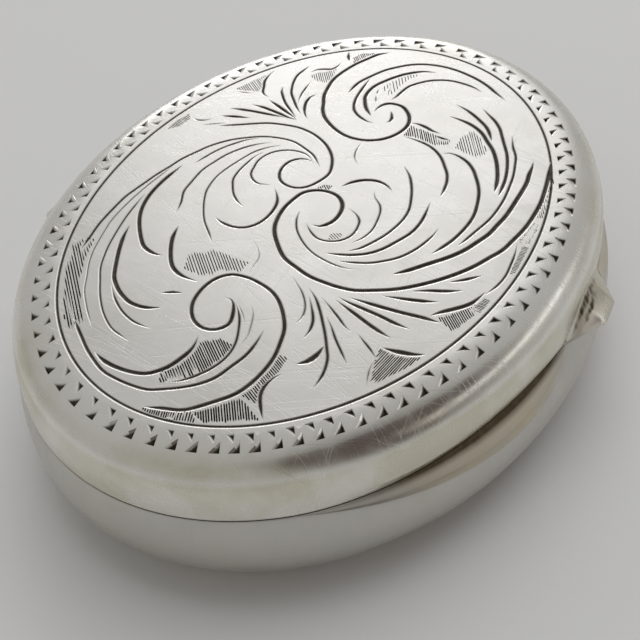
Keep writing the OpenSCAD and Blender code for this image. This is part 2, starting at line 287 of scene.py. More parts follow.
    (.22, [(-14.1, -7.15), (-13, -7.15), (-12, -6.9), (-11.3, -6.5), (-10.5, -6), (-9.8, -5.5),
           (-9, -4.9), (-8.2, -4.2), (-7.6, -3.4)]),
    (.2, [(-11.9, -8), (-11.2, -7.3), (-10.5, -6.6), (-9.8, -6), (-9.2, -5.4)]),
    (.2, [(-9.7, -7.2), (-9.5, -6.7), (-9, -6), (-8.4, -5.1), (-8, -4.4)]),
    (.28, [(-9.2, -9.3), (-9.05, -8.6), (-8.8, -7.8), (-8.5, -7), (-8.2, -6.2), (-7.85, -5.2)]),
    (.28, [(-8.15, -9.9), (-8.1, -9), (-7.95, -8), (-7.85, -7), (-7.75, -6), (-7.6, -5.2)]),
    (.3, [(-7, -11.2), (-7.05, -10.2), (-7.2, -9), (-7.3, -7.8), (-7.35, -6.8), (-7.4, -5.8)]),
    (.3, [(-5.55, -10.5), (-5.9, -9.6), (-6.2, -8.6), (-6.5, -7.4)]),
    (.28, [(-4.1, -11.35), (-4.6, -10.5), (-5, -9.6), (-5.5, -8.7)]),
    (.25, [(-2.5, -11.85), (-2.8, -11.55), (-3.35, -11), (-3.9, -10.3)]),
    (.2, [(-10.9, -9.2), (-10.4, -8.6), (-10, -8), (-9.6, -7.4)]),
    (.14, [(-12.7, -9.5), (-12.2, -9.3), (-11.6, -9.15), (-11, -9.1)]),
    (.35, [(-10, -9), (-9.95, -9.7), (-9.85, -10.2), (-9.7, -10.8), (-9.4, -11.4)]),
    (.3, [(-6.8, -10.4), (-6.3, -10.8), (-5.7, -11.4), (-5, -12), (-4.2, -12.3), (-3.6, -12.45)]),
    (.2, [(-4, -12.45), (-3, -12.8), (-2, -12.95), (-1, -12.9), (0, -12.8), (1, -12.6)]),
]

# Patches of fine shading lines: angle in degrees, spacing, depth of tone, then the outline
SHADING = [
    (50, .17, 1, [(-17.1, .2), (-16.6, -.9), (-15.6, -1.7), (-14.2, -2), (-13.2, -1.9), (-13, -.9),
                  (-13.6, -.1), (-14.6, -.15), (-15.6, .05), (-16.4, .6)]),
    (20, .17, 1, [(-18.8, .6), (-18.7, -.4), (-18.3, -1.6), (-17.9, -2.3), (-18.5, -3),
                  (-18.9, -1.8), (-19, -.4)]),
    (35, .17, 1, [(-18, -2.4), (-17, -3.3), (-16, -4), (-16.4, -4.7), (-17, -5.7), (-17.8, -4.6),
                  (-18.4, -3.3)]),
    (60, .17, 1, [(-16, -4.1), (-15, -4.35), (-13.8, -4.5), (-12.7, -4.45), (-12.8, -5),
                  (-13.9, -5.1), (-14.6, -4.8), (-15.4, -4.75), (-16.2, -5.1)]),
    (45, .2, 1, [(-15.4, 6.2), (-14, 7.5), (-12.5, 8.7), (-11, 9.55), (-9, 10.3), (-9, 10.9),
                 (-9.6, 11.5), (-11.5, 10.6), (-13.5, 9.2), (-15.2, 7.8), (-16, 6.8)]),
    (-10, .15, 1, [(-12.6, -9.5), (-11, -9.1), (-10.1, -9), (-9.95, -10), (-9.7, -11.2),
                   (-11, -10.7), (-12.4, -9.9)]),
    (45, .16, 1, [(-7.4, -12), (-6.7, -10.8), (-5.8, -11.5), (-4.8, -12.25), (-5.8, -12.6)]),
    (85, .15, 1, [(-5.5, -12.1), (-4.2, -12.5), (-4.2, -12.95), (-5.3, -12.8)]),
    (90, .17, 1, [(-1.7, -13.05), (.8, -12.9), (.9, -13.35), (-1.6, -13.4)]),
    (80, .15, 1, [(1.1, -12.6), (3.2, -12.8), (3.1, -13.2), (1.2, -13.3)]),
    (10, .18, .8, [(1.1, -12.6), (3.2, -12.8), (3.1, -13.2), (1.2, -13.3)]),
    (25, .17, .8, [(3.6, -12.75), (6, -12.65), (8, -12.35), (7.5, -12.7), (5.5, -13), (3.7, -13.2)]),
    (30, .18, 1, [(8.1, -2.2), (9.5, -2.1), (9.3, -3.4), (8.9, -5.2), (8.3, -5.3), (7.8, -4.6),
                  (8.05, -3.4)]),
    (30, .2, .8, [(8.2, -5.8), (9.6, -5.6), (10.8, -5.9), (10.2, -6.7), (8.8, -7.8), (7.6, -7.9),
                  (7.7, -6.8)]),
    (45, .17, 1, [(.5, .4), (1.2, .1), (1.2, -.5), (.7, -.5)]),
    (40, .18, 1, [(15.4, 4.95), (16.6, 4.55), (17.5, 4), (17, 5.2), (16.1, 5.5)]),
    (30, .3, .8, [(12, .55), (13.5, .5), (14.8, .35), (15.8, -.2), (15.6, .5), (14.7, 1.2),
                  (13.6, 1.7), (12.9, 1.5)]),
    (50, .2, 1, [(9.2, 9.3), (9, 10), (8.9, 11.3), (10.5, 10.8), (11.6, 10.1), (10.7, 9.9),
                 (9.9, 9.55)]),
    (70, .17, 1, [(3.3, 12.2), (4.4, 12.1), (4.9, 12.6), (4, 12.95), (2.6, 12.95)]),
    (45, .2, .8, [(-9.5, 2.2), (-8.6, 1.6), (-8.2, .6), (-7.2, .6), (-6.9, 3.2), (-7.8, 4.4),
                  (-9.2, 3.8)]),
    (60, .2, .8, [(-3.6, -2.6), (-2.9, -2.4), (-2.6, -3.2), (-3.2, -3.2)]),
    (35, .2, .8, [(12.5, 7.1), (13.3, 7), (13.7, 6.4), (14.2, 5.8), (13.2, 5.5), (11.9, 5.5),
                  (12, 6.3)]),
]


def smooth_path(points, step):
    """Points about a step apart along a smooth curve through the given ones."""
    path = []
    for i in range(len(points) - 1):
        p0 = Vector(points[max(i - 1, 0)])
        p1 = Vector(points[i])
        p2 = Vector(points[i + 1])
        p3 = Vector(points[min(i + 2, len(points) - 1)])
        parts = max(1, round((p2 - p1).length / step))
        for k in range(parts):
            t = k / parts
            path.append(0.5 * (2 * p1 + (p2 - p0) * t + (2 * p0 - 5 * p1 + 4 * p2 - p3) * t * t
                               + (3 * p1 - p0 - 3 * p2 + p3) * t ** 3))
    path.append(Vector(points[-1]))
    return path


class Plan:
    """Plan of the engraved plate: points, the edges between them and how deep each is cut."""

    CELL = 0.6
    # The graver leans, so a cut is steep on the side away from the front left
    LEAN = Vector((math.cos(math.radians(25)), math.sin(math.radians(25)))) * 0.42
    DEPTH = 0.42

    def __init__(self):
        self.points = []
        self.edges = []
        self.sink = []
        self.cells = {}

    def add(self, x, y, sink=None):
        self.points.append(Vector((x, y)))
        self.sink.append(sink)
        return len(self.points) - 1

    def line(self, ids):
        self.edges.extend(zip(ids, ids[1:]))

    def remember(self, a, b, half_a, half_b):
        """Keep one stretch of a cut, to find how deep the plate is at any place."""
        across = Vector((a.y - b.y, b.x - a.x)).normalized()
        steps = max(1, int((b - a).length / self.CELL) + 1)
        seen = set()
        for k in range(steps + 1):
            p = a.lerp(b, k / steps)
            for i in (-1, 0, 1):
                for j in (-1, 0, 1):
                    seen.add((int(p.x // self.CELL) + i, int(p.y // self.CELL) + j))
        for cell in seen:
            self.cells.setdefault(cell, []).append((a, b, half_a, half_b, across))

    def near(self, p):
        """The cuts near a place: how far off their middle it is, their half width and lean."""
        for a, b, half_a, half_b, across in self.cells.get(
                (int(p.x // self.CELL), int(p.y // self.CELL)), ()):
            d = b - a
            t = min(1, max(0, (p - a).dot(d) / max(1e-9, d.length_squared)))
            off = p - a - d * t
            side = math.copysign(off.length, off.dot(across))
            yield side, half_a + (half_b - half_a) * t, across.dot(self.LEAN)

    def depth(self, p):
        """Depth of the deepest cut at a place."""
        best = 0.0
        for side, half, lean in self.near(p):
            if abs(side) < half:
                part = min((half - side) / (1 - lean), (half + side) / (1 + lean))
                best = max(best, self.DEPTH * part)
        return best

    def clear(self, p, room):
        """Is a place further than room from the sides of every cut?"""
        return all(abs(side) > half + room for side, half, _ in self.near(p))

    def cut(self, path, width, closed=False):
        """A leaning V-shaped cut along a path, which runs out to nothing at both ends."""
        total = sum((b - a).length for a, b in zip(path, path[1:]))
        halves = []
        run = 0.0
        for i, p in enumerate(path):
            if i:
                run += (p - path[i - 1]).length
            left = min(run / min(1.0, total * 0.4), (total - run) / min(1.5, total * 0.45), 1)
            halves.append(width / 2 * (1 if closed else max(0.0, left) ** 0.6))
        middle, sides = [], ([], [])
        last = len(path) - 1
        for i, p in enumerate(path):
            if not closed and i in (0, last):
                middle.append(self.add(p.x, p.y, 0.0))
                for side in sides:
                    side.append(middle[-1])
                continue
            along = (path[(i + 1) % (last + 1)] - path[i - 1]).normalized()
            across = Vector((-along.y, along.x))
            low = p + across * across.dot(self.LEAN) * halves[i]
            middle.append(self.add(low.x, low.y, self.DEPTH * halves[i]))
            for side, sign in zip(sides, (1, -1)):
                edge = p + across * halves[i] * sign
                side.append(self.add(edge.x, edge.y))
        for ids in (middle, *sides):
            self.line(ids + ids[:1] if closed else ids)
        for i in range(last + (1 if closed else 0)):
            j = (i + 1) % (last + 1)
            self.remember(path[i], path[j], halves[i], halves[j])

    def shade(self, angle, spacing, tone, outline, rand):
        """Fine parallel lines inside an outline."""
        turn = Matrix.Rotation(-math.radians(angle), 2)
        back = Matrix.Rotation(math.radians(angle), 2)
        turned = [turn @ Vector((x + MARK_X, y)) for x, y in outline]
        v = min(p.y for p in turned) + spacing / 2
        high = max(p.y for p in turned)
        half = HAIR_HALF * tone
        spacing *= SHADING_SPACING
        while v < high:
            hits = []
            for a, b in zip(turned, turned[1:] + turned[:1]):
                if (a.y - v) * (b.y - v) < 0:
                    hits.append(a.x + (b.x - a.x) * (v - a.y) / (b.y - a.y))
            hits.sort()
            for x0, x1 in zip(hits[::2], hits[1::2]):
                x0 += rand.uniform(0, 0.1) * (x1 - x0)
                x1 -= rand.uniform(0, 0.1) * (x1 - x0)
                if x1 - x0 < 0.15:
                    continue
                spots = [Vector((x0 + (x1 - x0) * k, v)) for k in (0, .12, .88, 1)]
                spots = [back @ p for p in spots]
                side = back @ Vector((0, half))
                ends = [self.add(spots[0].x, spots[0].y, 0.0), self.add(spots[3].x, spots[3].y, 0.0)]
                inner = [self.add(p.x, p.y, HAIR_DEPTH * tone) for p in spots[1:3]]
                self.line([ends[0], *inner, ends[1]])
                for sign in (1, -1):
                    row = [self.add(p.x + side.x * sign, p.y + side.y * sign, 0.0)
                           for p in spots[1:3]]
                    self.line([ends[0], *row, ends[1]])
            v += spacing * rand.uniform(0.85, 1.15)


def border_pitch(t):
    """Distance between two strikes of the border punch at angle t: closer at the front left."""
    d = math.degrees(t) % 360
    tight = math.exp(-((d - 203) / 34) ** 2)
    return 1.42 - 0.5 * tight


def border_place(t, along, out):
    """Place beside the border line at angle t, out outside it."""
    across = Vector((math.cos(t), math.sin(t)))
    tangent = Vector((-(BORDER_X + out) * across.y, (BORDER_Y + out) * across.x)).normalized()
    spot = Vector(((BORDER_X + out) * across.x + MARK_X, (BORDER_Y + out) * across.y))
    return spot + tangent * along


def mill_border(plan, rand):
    """Two rows of triangular punch strikes, set slantwise, round the engraved field."""
    # Corners and deep point of each strike as (along, out) from the border line, then its depth
    strikes = [
        ([(-.62, .44), (.06, .4), (.12, 1.02)], (-.02, .52), .16),
        ([(-.2, 1.5), (.72, 1.5), (.6, .82)], (.58, 1.38), .17),
    ]
    t = 0.0
    while t < 2 * math.pi - 0.04:
        speed = math.hypot(BORDER_X * math.sin(t), BORDER_Y * math.cos(t))
        pitch = border_pitch(t)
        squeeze = pitch / 1.4
        sway = rand.uniform(-0.05, 0.05)
        size = rand.uniform(0.9, 1.06)
        for corners, deep, depth in strikes:
            mid = [sum(c[k] for c in corners) / 3 for k in (0, 1)]
            spots = [border_place(t, (mid[0] + (x - mid[0]) * size) * squeeze + sway,
                                  mid[1] + (y - mid[1]) * size) for x, y in corners + [deep]]
            ids = [plan.add(p.x, p.y, 0.0) for p in spots[:3]]
            plan.line(ids + ids[:1])
            plan.add(spots[3].x, spots[3].y, depth * rand.uniform(0.8, 1.1))
        for x, y, sink in ((-.3, 1.12, -.02), (.24, 1.2, -.05), (.36, .66, -.03)):
            p = border_place(t, x * squeeze + sway, y)
            plan.add(p.x, p.y, sink)
        t += pitch / speed


def oval_path(a, b, count, shift=MARK_X):
    return [Vector((a * math.cos(2 * math.pi * k / count) + shift,
                    b * math.sin(2 * math.pi * k / count))) for k in range(count)]


def draw_plan():
    """The whole engraved plate seen from above."""
    plan = Plan()
    rand = random.Random(7)
    rim = []
    inset = SHOULDER - PLATE_OUT
    outer = oval_path(HALF_LENGTH - inset, HALF_WIDTH - inset, RING, 0)
    inner = oval_path(BORDER_X + 1.86, BORDER_Y + 1.86, RING)
    for part in (0, 0.25, 0.5, 0.75, 1):
        ring = [plan.add(*b.lerp(a, part), 0.0) for a, b in zip(inner, outer)]
        plan.line(ring + ring[:1])
        rim = rim or ring
    ring = [plan.add(*p, 0.0) for p in oval_path(BORDER_X + .34, BORDER_Y + .34, RING)]
    plan.line(ring + ring[:1])
    plan.cut(oval_path(BORDER_X, BORDER_Y, 260), .26, closed=True)
    for width, points in CUTS:
        path = smooth_path([(x + MARK_X, y) for x, y in points], 0.3)
        plan.cut(path, width * CUT_WIDENING)
    for patch in SHADING:
        plan.shade(*patch, rand)
    mill_border(plan, rand)
    step = 0.5
    for i in range(-45, 46):
        for j in range(-36, 37):
            p = Vector((i * step + rand.uniform(-.1, .1), j * step + rand.uniform(-.1, .1)))
            q = ((p.x - MARK_X) / (BORDER_X - .2)) ** 2 + (p.y / (BORDER_Y - .2)) ** 2
            if q < 1 and plan.clear(p, 0.12):
                plan.add(p.x, p.y, 0.0)
    return plan, rim


# ---------------------------------------------------------------- mesh helpers

def finish_mesh(bm, name, sharp):
    """Object at the origin from a bmesh in millimetres."""
    bmesh.ops.scale(bm, vec=(MM, MM, MM), verts=bm.verts)
    mesh = bpy.data.meshes.new(name)
    bm.to_mesh(mesh)
    bm.free()
    for face in mesh.polygons:
        face.use_smooth = True
    mesh.set_sharp_from_angle(angle=math.radians(sharp))
    piece = bpy.data.objects.new(name, mesh)
    bpy.context.scene.collection.objects.link(piece)
    return piece


def grow(bm, edges, mark, shape):
    """Extrude a ring of edges once and put each new point where shape says for its ring number."""
    made = bmesh.ops.extrude_edge_only(bm, edges=edges)["geom"]
    for v in made:
        if isinstance(v, bmesh.types.BMVert):
            v.co = Vector(shape(2 * math.pi * v[mark] / RING))
    return [e for e in made if isinstance(e, bmesh.types.BMEdge)
            and abs(e.verts[0][mark] - e.verts[1][mark]) in (1, RING - 1)]


def close(bm, edges):
    """Close the last ring with one flat face."""
    bmesh.ops.edgeloop_fill(bm, edges=edges)


def cut_barrel_room(piece):
    """Take the room of the hinge barrel out of a shell."""
    bm = bmesh.new()
    bmesh.ops.create_cone(bm, cap_ends=True, segments=48, radius1=BARREL_ROOM,
                          radius2=BARREL_ROOM, depth=2 * BARREL_HALF)
    bmesh.ops.rotate(bm, cent=(0, 0, 0), matrix=Matrix.Rotation(math.pi / 2, 3, "Y"), verts=bm.verts)
    bmesh.ops.translate(bm, vec=(0, HINGE_Y, HINGE_Z), verts=bm.verts)
    cutter = finish_mesh(bm, "barrel_cutter", 30)
    cut = piece.modifiers.new("barrel_room", "BOOLEAN")
    cut.operation = "DIFFERENCE"
    cut.solver = "EXACT"
    cut.object = cutter
    made = bpy.data.meshes.new_from_object(
        piece.evaluated_get(bpy.context.evaluated_depsgraph_get()))
    piece.modifiers.remove(cut)
    piece.data = made
    bpy.data.objects.remove(cutter)


# ---------------------------------------------------------------- the pieces

def lid_wall(rise):
    """Outline of the lid at a height above its lower edge, with the finger facets."""
    out = SHOULDER * max(0.0, 1 - (rise / LID_HEIGHT) ** 3) ** (1 / 3)

    def shape(t):
        f = facet(t)
        cut = f * FACET_DEPTH * max(0.0, 1 - rise / max(0.01, FACET_RISE * f)) ** 2
        return oval(t, SHOULDER - out + cut, LID_BOTTOM + rise)
    return shape


def engraved_lid():
    """Lid shell whose top carries the cut and punched ornament as real relief."""
    plan, rim = draw_plan()
    spots, _, faces, origins, _, _ = delaunay_2d_cdt(plan.points, plan.edges, [], 0, 1e-5)
    bm = bmesh.new()
    mark = bm.verts.layers.int.new("place")
    rim_number = {point: number for number, point in enumerate(rim)}
    for spot, origin in zip(spots, origins):
        sinks = [plan.sink[k] for k in origin if plan.sink[k]]
        sink = sinks[0] if sinks else 0.0
        if abs(sink) < 1e-6:
            sink = max(sink, plan.depth(spot))
        v = bm.verts.new((spot.x, spot.y, lid_top(spot.x, spot.y) - sink))
        v[mark] = next((rim_number[k] for k in origin if k in rim_number), -9)
    bm.verts.ensure_lookup_table()
    for face in faces:
        bm.faces.new([bm.verts[k] for k in face])
    edges = [e for e in bm.edges if len(e.link_faces) == 1]
    start = shoulder_rise(PLATE_OUT)
    wall_rings = 9
    for k in range(1, wall_rings + 1):
        rise = round(start * (1 - k / wall_rings) ** 0.8, 4)
        edges = grow(bm, edges, mark, lid_wall(rise))
    inner_z = BORDER_Z - PLATE
    corner = 1.6  # radius of the rounded corner inside

    def edge_inside(t):
        return oval(t, SHEET, LID_BOTTOM)
    edges = grow(bm, edges, mark, edge_inside)
    for a in (0, 22.5, 45, 67.5, 90):
        c, s = math.cos(math.radians(a)), math.sin(math.radians(a))
        edges = grow(bm, edges, mark,
                     lambda t: oval(t, SHEET + corner * (1 - c), inner_z - corner * (1 - s)))
    close(bm, edges)
    bmesh.ops.recalc_face_normals(bm, faces=bm.faces)
    bm.verts.layers.int.remove(mark)
    lid = finish_mesh(bm, "engraved_lid", LID_SHARP)
    cut_barrel_room(lid)
    lid.data.set_sharp_from_angle(angle=math.radians(LID_SHARP))
    stain_and_shade(lid.data, lid_stain_and_shade)
    return lid


def stain_and_shade(mesh, rule):
    """Write how much dirt and how much yellow veil each point carries; the same two values also carry
    painted shade and shadow.
    """
    dirt_and_shadow = mesh.attributes.new("dirt_and_shadow", "FLOAT", "POINT")
    veil_and_shade = mesh.attributes.new("veil_and_shade", "FLOAT", "POINT")
    for v, dark, pale in zip(mesh.vertices, dirt_and_shadow.data, veil_and_shade.data):
        x, y, z = v.co / MM
        dark.value, pale.value = rule(x, y, z, v.normal)


def bell(value, middle, spread):
    return math.exp(-((value - middle) / spread) ** 2)


def lid_stain_and_shade(x, y, z, normal):
    """Dirt in the cuts and along the lower edge, veil on the shoulder's ends, painted shade as an even
    veil on the wall, and painted shade as veil and dirt over the finger facets.
    """
    t = math.atan2(y / HALF_WIDTH, x / HALF_LENGTH)
    inside = (x / (HALF_LENGTH - 0.5)) ** 2 + (y / (HALF_WIDTH - 0.5)) ** 2 < 0.97
    field = ((x - MARK_X) / BORDER_X) ** 2 + (y / BORDER_Y) ** 2 < 1.02
    if z > BORDER_Z - 1.2 and normal.z > 0:
        depth = lid_top(x, y) - z
        dirt_and_shadow = min(1.8, max(0, depth / 0.045 if field else (depth - 0.02) / 0.09))
        veil_and_shade = 0.85 * bell(z, 10.3, 0.45) * (0.35 + 0.65 * abs(math.cos(t)))
        return dirt_and_shadow, veil_and_shade
    if inside:
        return 0.0, 0.6
    f = facet(t)
    # Painted shade: over the finger facets the veil and dirt paint the yellowish shading of the
    # hollowed lower wall, fading out 1.1 mm above the edge.
    low = max(0.0, 1 - (z - LID_BOTTOM) / 1.1)
    edge = max(0.0, 1 - (z - LID_BOTTOM) / 0.12)
    # The even veil of 0.7 darkens the whole wall as painted shade; the shoulder's ends take more veil
    # up near the shoulder.
    wall = 0.7 + 0.4 * bell(z, 10.0, 0.7) * abs(math.cos(t)) + 0.6 * f * low
    return 0.4 * edge + 0.2 * f * low, wall


def bellied_base():
    """Base shell with its soft belly, finger facets and rounded inside."""
    bm = bmesh.new()
    mark = bm.verts.layers.int.new("place")
    bmesh.ops.create_circle(bm, cap_ends=False, segments=RING, radius=1)
    ordered = sorted(bm.verts, key=lambda v: math.atan2(v.co.y, v.co.x) % (2 * math.pi - 1e-6))
    for j, v in enumerate(ordered):
        v[mark] = j
        v.co = Vector(oval(2 * math.pi * j / RING, base_inset(2 * math.pi * j / RING, 0), 0))
    edges = list(bm.edges)
    close(bm, edges)
    for a in range(8, 89, 8):
        z = FOOT_RADIUS * (1 - math.cos(math.radians(a)))
        edges = grow(bm, edges, mark, lambda t: oval(t, base_inset(t, z), z))

    def crease(t):
        return BASE_HEIGHT - FACET_DROP * facet(t) - 0.04
    wall_rings = 8
    for k in range(1, wall_rings + 1):
        def wall(t):
            z = FOOT_RADIUS + (crease(t) - FOOT_RADIUS) * k / wall_rings
            return oval(t, base_inset(t, z), z)
        edges = grow(bm, edges, mark, wall)
    # The polished ledge just above the crease, as extra inset at two places up the facet
    ledge = {0.11: 0.05, 0.25: 0.04}
    facet_rings = (0.02, 0.11, 0.25, 0.5, 0.7, 0.82, 0.92, 1)
    for part in facet_rings:
        def flat(t):
            z0 = crease(t)
            inset = base_inset(t, z0) * (1 - part) + (FACET_DEPTH * facet(t) + 0.02) * part
            hollow = facet(t) * (0.06 * math.sin(math.pi * part) + ledge.get(part, 0))
            return oval(t, inset + hollow, z0 + (BASE_HEIGHT - z0) * part)
        edges = grow(bm, edges, mark, flat)
    inner = SHEET + RIM_SLACK
    corner = 3.2  # radius of the rounded corner inside
    edges = grow(bm, edges, mark, lambda t: oval(t, inner, BASE_HEIGHT))
    for a in (0, 22.5, 45, 67.5, 90):
        c, s = math.cos(math.radians(a)), math.sin(math.radians(a))
        edges = grow(bm, edges, mark,
                     lambda t: oval(t, inner + corner * (1 - c), PLATE + corner * (1 - s)))
    close(bm, edges)
    bmesh.ops.recalc_face_normals(bm, faces=bm.faces)
    bm.verts.layers.int.remove(mark)
    base = finish_mesh(bm, "bellied_base", BASE_SHARP)
    cut_barrel_room(base)
    base.data.set_sharp_from_angle(angle=math.radians(BASE_SHARP))
    stain_and_shade(base.data, base_stain_and_shadow)
    return base


def base_stain_and_shadow(x, y, z, normal):
    """Dirt and the lid's painted shadow along the joint, painted reflection as veil and dirt over the
    finger facets, and a veil near the foot.
    """
    t = math.atan2(y / HALF_WIDTH, x / HALF_LENGTH)
    f = facet(t)
    if (x / (HALF_LENGTH - 0.6)) ** 2 + (y / (HALF_WIDTH - 0.6)) ** 2 < 1 and z > 0.5:
        return 0.1, 0.7
    up = BASE_HEIGHT - z
    # Dark band just under the joint: partly dirt, partly the lid's painted shadow and reflection,
    # widest and darkest at the finger facets.
    seam_shadow_and_dirt = bell(up, 0, 0.22 + 0.25 * f)
    # Painted reflection: on the finger facets the veil and some dirt give the brown tone the facet gets
    # from reflecting the lid and the dark front.
    facet_painted_reflection = f if up < FACET_DROP * f + 0.02 else 0.0
    return seam_shadow_and_dirt * (0.35 + 0.6 * f) + 0.22 * facet_painted_reflection, 0.9 * facet_painted_reflection + 0.3 * bell(z, 1.5, 1.5)


def lid_wall_y(x, z):
    """Depth of the lid's front wall at x and height z."""
    out = SHOULDER * max(0.0, 1 - (max(0.0, z - LID_BOTTOM) / LID_HEIGHT) ** 3) ** (1 / 3)
    inset = SHOULDER - out
    return -(HALF_WIDTH - inset) * math.sqrt(1 - (x / (HALF_LENGTH - inset)) ** 2)


def match_ring(before, after):
    """The new ring's points in the order of the ring they were extruded from."""
    matched = []
    for v in before:
        matched.append(next(e.other_vert(v) for e in v.link_edges if e.other_vert(v) in after))
    return matched


def thumb_nib():
    """Pointed nib with a hollow top face and a thin lip, soldered on the lid's front wall."""
    low = LID_BOTTOM + 0.02
    reach = 1.5
    height = 2.7
    root = 3.6
    count = 44
    # Points of one section: six on the lip, the rows of the top face, and two inside the wall
    face_rows = 12
    rows = 6 + face_rows + 2
    bm = bmesh.new()
    bmesh.ops.create_circle(bm, cap_ends=True, segments=rows, radius=1)
    section = list(bm.verts)
    bm.faces.ensure_lookup_table()
    face = bm.faces[0]

    def place(verts, x):
        u = max(0.0, 1 - abs(x - NIB_SIDE) / root)
        blunt = min(1.0, u ** 1.05 * 1.4)
        stand = reach * blunt
        top = low + 0.25 + (height - 0.25) * u ** 0.75
        lip = 0.13 + 0.13 * blunt
        wall = lid_wall_y(x, low)
        head = lid_wall_y(x, top) + 0.03
        ring = [(wall + 0.3, low), (wall - stand * 0.5, low), (wall - stand + 0.07, low),
                (wall - stand, low + 0.07), (wall - stand, low + lip - 0.1),
                (wall - stand + 0.1, low + lip)]
        for k in range(1, face_rows + 1):
            part = k / face_rows
            y = head + (wall - stand + 0.1 - head) * (1 - part) ** 1.8
            ring.append((y, (low + lip) * (1 - part) + top * part))
        ring += [(head + 0.3, top), (wall + 0.3, (low + top) / 2)]
        for v, (y, z) in zip(verts, ring):
            v.co = Vector((x, y, z))

    place(section, NIB_SIDE - root)
    for k in range(1, count + 1):
        made = bmesh.ops.extrude_face_region(bm, geom=[face])["geom"]
        if k > 1:
            bmesh.ops.delete(bm, geom=[face], context="FACES_ONLY")
        face = next(g for g in made if isinstance(g, bmesh.types.BMFace))
        section = match_ring(section, list(face.verts))
        place(section, NIB_SIDE - root + 2 * root * k / count)
    bmesh.ops.recalc_face_normals(bm, faces=bm.faces)
    nib = finish_mesh(bm, "thumb_nib", NIB_SHARP)
    stain_and_shade(nib.data, nib_stain)
    return nib


def nib_stain(x, y, z, normal):
    """Old dirt where the nib meets the wall."""
    gap = lid_wall_y(x, z) - y
    side = x - NIB_SIDE
    broken = 0.75 + 0.25 * math.sin(11 * x) * math.sin(4 * x + 1)
    streaks = bell(gap, 0.16, 0.12) * bell(side, -.8, 2.2) + bell(gap, 0.5, 0.13) * bell(side, -.7, 1.3)
    return min(1.2, 1.25 * streaks * broken), 0.5 + 0.5 * bell(gap, 0.3, 0.5)


# ---------------------------------------------------------------- finishes

def group_sockets(tree, numbers_in, numbers_out):
    """A group's Vector input, its number inputs with their defaults, and its number outputs."""
    tree.interface.new_socket(name="Vector", in_out="INPUT", socket_type="NodeSocketVector")
    for name, value in numbers_in.items():
        socket = tree.interface.new_socket(name=name, in_out="INPUT", socket_type="NodeSocketFloat")
        socket.default_value = value
    for name in numbers_out:
        tree.interface.new_socket(name=name, in_out="OUTPUT", socket_type="NodeSocketFloat")


class Nodes:
    """Short way to place and join nodes."""

    def __init__(self, tree):
        self.tree = tree

    def add(self, kind, ins=None, **settings):
        node = self.tree.nodes.new(kind)
        for key, value in settings.items():
            setattr(node, key, value)
        for key, value in (ins or {}).items():
            if isinstance(value, bpy.types.NodeSocket):
                self.tree.links.new(value, node.inputs[key])
            else:
                node.inputs[key].default_value = value
        return node

    def math(self, operation, a, b=0.0, clamp=False):
        return self.add("ShaderNodeMath", {0: a, 1: b}, operation=operation,
                        use_clamp=clamp).outputs[0]

    def noise(self, vector, scale, detail=3.0, roughness=0.55):
        return self.add("ShaderNodeTexNoise", {"Vector": vector, "Scale": scale, "Detail": detail,
                                               "Roughness": roughness}).outputs["Fac"]

    def span(self, value, low, high, to_low=0.0, to_high=1.0):
        return self.add("ShaderNodeMapRange", {"Value": value, "From Min": low, "From Max": high,
                                               "To Min": to_low, "To Max": to_high}).outputs[0]

    def turned(self, vector, rotation, scale):
        return self.add("ShaderNodeMapping", {"Vector": vector, "Rotation": rotation,
                                              "Scale": scale}).outputs[0]

    def mix(self, fac, a, b):
        node = self.add("ShaderNodeMix", {"Factor": fac}, data_type="RGBA")
        for key, value in ((6, a), (7, b)):
            if isinstance(value, bpy.types.NodeSocket):
                self.tree.links.new(value, node.inputs[key])
            else:
                node.inputs[key].default_value = value
        return node.outputs[2]


def hairline_group():
    """Fine hairlines that silver picks up in a pocket, in five directions."""
    tree = bpy.data.node_groups.new("hairlines", "ShaderNodeTree")
    group_sockets(tree, {"Density": 0.5}, ("Height", "Rub"))
    n = Nodes(tree)
    source = n.add("NodeGroupInput")
    vector = source.outputs["Vector"]
    lines = None
    turns = [((0, 0, 0.5), (2600, 50, 220)), ((0, 0, 1.45), (3200, 70, 260)),
             ((0, 0, 2.6), (2200, 40, 180)), ((0.2, 1.3, 0.2), (150, 200, 3000)),
             ((1.1, 0.2, 0.7), (3000, 90, 160))]
    for rotation, scale in turns:
        turned = n.turned(n.turned(vector, rotation, (1, 1, 1)), (0, 0, 0), scale)
        off = n.math("ABSOLUTE", n.math("SUBTRACT", n.noise(turned, 1.0, 1.0), 0.5))
        thin = n.span(off, 0.018, 0.004)
        patch = n.span(n.noise(turned, 0.35, 1.0), 0.5, 0.62)
        thin = n.math("MULTIPLY", thin, patch)
        lines = thin if lines is None else n.math("ADD", lines, thin)
    lines = n.math("MULTIPLY", lines, source.outputs["Density"])
    height = n.math("SUBTRACT", 0.0, lines)
    rub = n.math("ADD", n.math("MULTIPLY", lines, 0.3), n.noise(vector, 500.0, 3.0), clamp=True)
    n.add("NodeGroupOutput", {"Height": height, "Rub": rub})
    return tree


